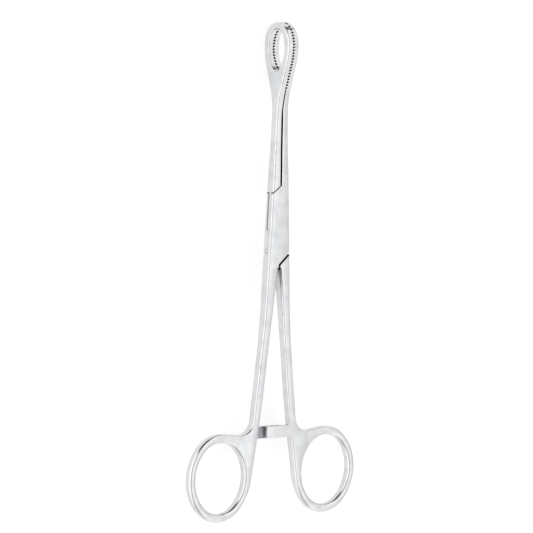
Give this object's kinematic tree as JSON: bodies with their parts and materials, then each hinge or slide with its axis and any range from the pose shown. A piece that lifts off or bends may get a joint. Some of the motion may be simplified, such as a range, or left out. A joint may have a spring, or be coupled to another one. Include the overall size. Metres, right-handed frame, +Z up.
{
  "type": "ring forceps",
  "caption": "Straight box-lock forceps with oval windowed serrated jaws, a toothed ratchet between the shanks and oval finger rings, in polished steel.",
  "frame": {"origin": "middle of the bounding box in plan, on the plane under the lying instrument", "axes": "+Y along the closed instrument towards the jaw tips, +X across it in the plane in which it opens, +Z up, along the pivot axis and out of the front cheek of the lock"},
  "size_m": [0.0778, 0.1791, 0.0139],
  "materials": {
    "polished_steel": "mirror polished stainless steel"
  },
  "bodies": {
    "box_side": {"box_half": "polished_steel", "pivot_pin": "polished_steel"},
    "tenon_side": {"tenon_half": "polished_steel"}
  },
  "joints": [
    {"name": "box_lock", "type": "hinge", "parent": "box_side", "child": "tenon_side", "pos_m": [0, 0.0169, 0.00695], "axis": [0, 0, 1], "range_deg": [0, 55]}
  ]
}
